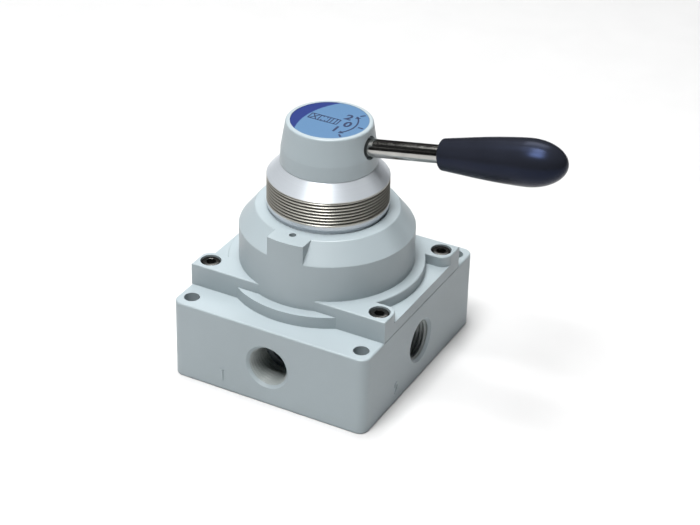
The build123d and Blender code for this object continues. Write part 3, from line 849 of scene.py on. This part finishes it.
def label_film(name):
    """Satin printed film: the distance from an offset centre picks one of two blues."""
    material, tree, shader, place = new_material(name)
    offset = add_node(
        tree,
        "ShaderNodeMapping",
        {"Location": (-FIELD_CENTRE[0] * MM, -FIELD_CENTRE[1] * MM, 0), "Scale": (1, 1, 0)},
        {"Vector": place},
    )
    distance = add_node(
        tree, "ShaderNodeVectorMath", links={0: offset.outputs["Vector"]}, operation="LENGTH"
    )
    border = add_node(
        tree,
        "ShaderNodeMapRange",
        {"From Min": (FIELD_R - FIELD_BLUR) * MM, "From Max": (FIELD_R + FIELD_BLUR) * MM},
        {"Value": distance.outputs["Value"]},
    )
    tint = blend_colours(tree, border.outputs["Result"], "#4f7193", "#172a69")
    tree.links.new(tint.outputs["Color"], shader.inputs["Base Color"])
    dots = add_node(
        tree, "ShaderNodeTexNoise", {"Scale": 1 / FILM_GRAIN, "Detail": 1.0}, {"Vector": place}
    )
    roughen(tree, shader, dots.outputs["Fac"], FILM_RELIEF, 0.4)
    shader.inputs["Roughness"].default_value = 0.32
    return material


give("label_disc", label_film("two_blue_label_film"))
print("label film on", frame["nodes"]["label_disc"].name)

# %% [markdown]
# The print is plain: a dial with the numbers 1, 0 and 2 for the three positions, a double arrow for
# the lever's swing, and beside it the usual drawing symbol of a three-position valve, three squares
# with the flow paths in them.  Each line is a thin flat strip of dark ink on the film.  The helpers
# come first: a strip is the space between two lines of points.

# %% Strips of ink
def flat_print(name, strips, low, high):
    """Closed thin strips in one mesh; each strip runs between two lines of points in the plane."""
    points, faces = [], []
    for inner, outer in strips:
        count, first = len(inner), sum(len(strip) for strip in points)
        edges = [(inner, low), (outer, low), (outer, high), (inner, high)]
        lines = [np.hstack([line, np.full((count, 1), level)]) for line, level in edges]
        points.append(np.vstack(lines))
        edge, j = np.meshgrid(np.arange(4), np.arange(count - 1), indexing="ij")
        here, across = edge * count + j, (edge + 1) % 4 * count + j
        sides = np.stack([here, across, across + 1, here + 1], axis=-1).reshape(-1, 4)
        ends = np.arange(4) * count
        faces.append(np.vstack([sides, ends, ends + count - 1]) + first)
    mesh = bpy.data.meshes.new(name)
    mesh.from_pydata((np.vstack(points) * MM).tolist(), [], np.vstack(faces).tolist())
    close_poles(mesh)
    return mesh


def polar(radius, degrees):
    """Points in the plane from a radius and an angle, either of which may be an array."""
    radius, angle = np.broadcast_arrays(radius, np.radians(degrees))
    return np.stack([radius * np.cos(angle), radius * np.sin(angle)], axis=-1)


def straight_stroke(start, end, width):
    """A strip round a straight line: both ends moved half the width to either side."""
    ends = np.array((start, end), float)
    along = (ends[1] - ends[0]) / np.linalg.norm(ends[1] - ends[0])
    across = np.array((-along[1], along[0])) * width / 2
    return ends - across, ends + across


print("a point at radius 2, 90 degrees:", polar(2, 90).round(6).tolist())

# %% Label print
LABEL_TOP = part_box("label_disc")[1][2] / MM
PRINT_HEIGHT = 0.05
PRINT_SINK = 0.01  # how far the strips reach into the film
INK_CLOUD = 0.8 * MM
DIGIT_HEIGHT = 6.6
DIGIT_WEIGHT = 0.2
DIGIT_AT_R = 8.6
SWING_R = 12.3
SWING_STROKE = 0.7
SWING_HALF_ANGLE = 37.0
ARROW_ANGLES = np.array((-1.0, 8.5))  # from the arc's end to the arrow's foot and its tip
ARROW_HALF_WIDTHS = np.array((1.3, 0.02))  # at the foot and at the tip
MARK_R = (13.7, 16.1)
MARK_STROKE = 0.9
POSITIONS = (("1", -45), ("0", 0), ("2", 45))
SYMBOL_CENTRE = np.array((-2.6, 0.0))
SYMBOL_STROKE = 0.5
HALF_SIDE = 2.3  # of one square of the symbol; the lines below are in half sides
SQUARE_XS = (-3, -1, 1, 3)
CROSS_XS = (-2.7, -1.3)
STUB_XS = (-0.4, 0.4)
STUB_END = 0.45
PARALLEL_XS = (1.6, 2.4)


def dial_ink(name, low_hex, high_hex):
    """Screen ink: a little unevenness where the mesh of the screen let less through."""
    material, tree, shader, place = new_material(name)
    cloud = add_node(
        tree, "ShaderNodeTexNoise", {"Scale": 1 / INK_CLOUD, "Detail": 2.0}, {"Vector": place}
    )
    tint = blend_colours(tree, cloud.outputs["Fac"], low_hex, high_hex)
    tree.links.new(tint.outputs["Color"], shader.inputs["Base Color"])
    shader.inputs["Roughness"].default_value = 0.42
    return material


navy_ink = dial_ink("navy_screen_ink", "#16213f", "#202d52")
label_low = LABEL_TOP - PRINT_SINK
label_high = LABEL_TOP + PRINT_HEIGHT
swing = np.linspace(-SWING_HALF_ANGLE, SWING_HALF_ANGLE, 40)
dial = [(polar(SWING_R - SWING_STROKE / 2, swing), polar(SWING_R + SWING_STROKE / 2, swing))]
dial += [straight_stroke(*polar(MARK_R, angle), MARK_STROKE) for _, angle in POSITIONS]
for sign in (-1, 1):
    angles = sign * (SWING_HALF_ANGLE + ARROW_ANGLES)
    edges = [polar(SWING_R + side * ARROW_HALF_WIDTHS, angles) for side in (-1, 1)]
    dial.append(tuple(edges))
symbol_lines = [((SQUARE_XS[0], y), (SQUARE_XS[-1], y)) for y in (-1, 1)]
symbol_lines += [((x, -1), (x, 1)) for x in SQUARE_XS]
symbol_lines += [((a, -1), (b, 1)) for a, b in (CROSS_XS, CROSS_XS[::-1])]
symbol_lines += [((x, y), (x, STUB_END * y)) for x in STUB_XS for y in (-1, 1)]
symbol_lines += [((x, -1), (x, 1)) for x in PARALLEL_XS]
symbol = [
    straight_stroke(*(SYMBOL_CENTRE + np.array(line) * HALF_SIDE), SYMBOL_STROKE)
    for line in symbol_lines
]
for name, strips in (("label_dial_print", dial), ("label_symbol_print", symbol)):
    mesh = flat_print(name, strips, label_low, label_high)
    place_piece(name, mesh, navy_ink, "rotor")
for digit, angle in POSITIONS:
    name = f"label_digit_{digit}"
    spot = Vector((*polar(DIGIT_AT_R, angle), label_high - PRINT_HEIGHT / 2))
    carry = Matrix.Translation(spot * MM)
    shape = solid_text(name, digit, DIGIT_HEIGHT, PRINT_HEIGHT, carry, DIGIT_WEIGHT)
    place_piece(name, shape, navy_ink, "rotor")
print("label:", len(dial), "dial lines,", len(symbol), "symbol lines,", len(POSITIONS), "digits")

# %% [markdown]
# ## Inner pieces
# The seals, disc, springs, spindle and detents sit inside the castings and don't show, but each is
# finished as what it is, so that the model can be opened.

# %% Finishes of the inner pieces
INNER_RELIEF = 0.01 * MM


def plain_finish(name, low_hex, high_hex, roughness, metallic, grain_mm):
    """A machined or moulded finish: one noise of a given size sets the colour and the relief."""
    material, tree, shader, place = new_material(name)
    grain = add_node(
        tree, "ShaderNodeTexNoise", {"Scale": 1 / (grain_mm * MM), "Detail": 2.0}, {"Vector": place}
    )
    tint = blend_colours(tree, grain.outputs["Fac"], low_hex, high_hex)
    tree.links.new(tint.outputs["Color"], shader.inputs["Base Color"])
    roughen(tree, shader, grain.outputs["Fac"], INNER_RELIEF, 0.4)
    shader.inputs["Metallic"].default_value = metallic
    shader.inputs["Roughness"].default_value = roughness
    return material


inner_finishes = {
    "ground_steel": plain_finish("ground_hardened_steel", "#a3a4a6", "#c1c2c4", 0.25, 1.0, 0.4),
    "spring_steel": plain_finish("drawn_spring_steel", "#6c6d70", "#8c8d90", 0.35, 1.0, 0.3),
    "seal_rubber": plain_finish("nitrile_rubber", "#17171a", "#232327", 0.6, 0.0, 0.5),
    "disc_plastic": plain_finish("machined_acetal", "#dcd9cc", "#e8e5da", 0.4, 0.0, 0.6),
    "bearing_bronze": plain_finish("sintered_bronze", "#9c7a4b", "#b8925c", 0.4, 1.0, 0.25),
    "insert_brass": plain_finish("turned_brass", "#c2a253", "#d6b96b", 0.25, 1.0, 0.4),
    "black_steel": black_steel,
}
for row in frame["record"]["subparts"]:
    if row["material_slot"] in inner_finishes:
        give(row["node"], inner_finishes[row["material_slot"]])
print("inner finishes:", sorted(inner_finishes))
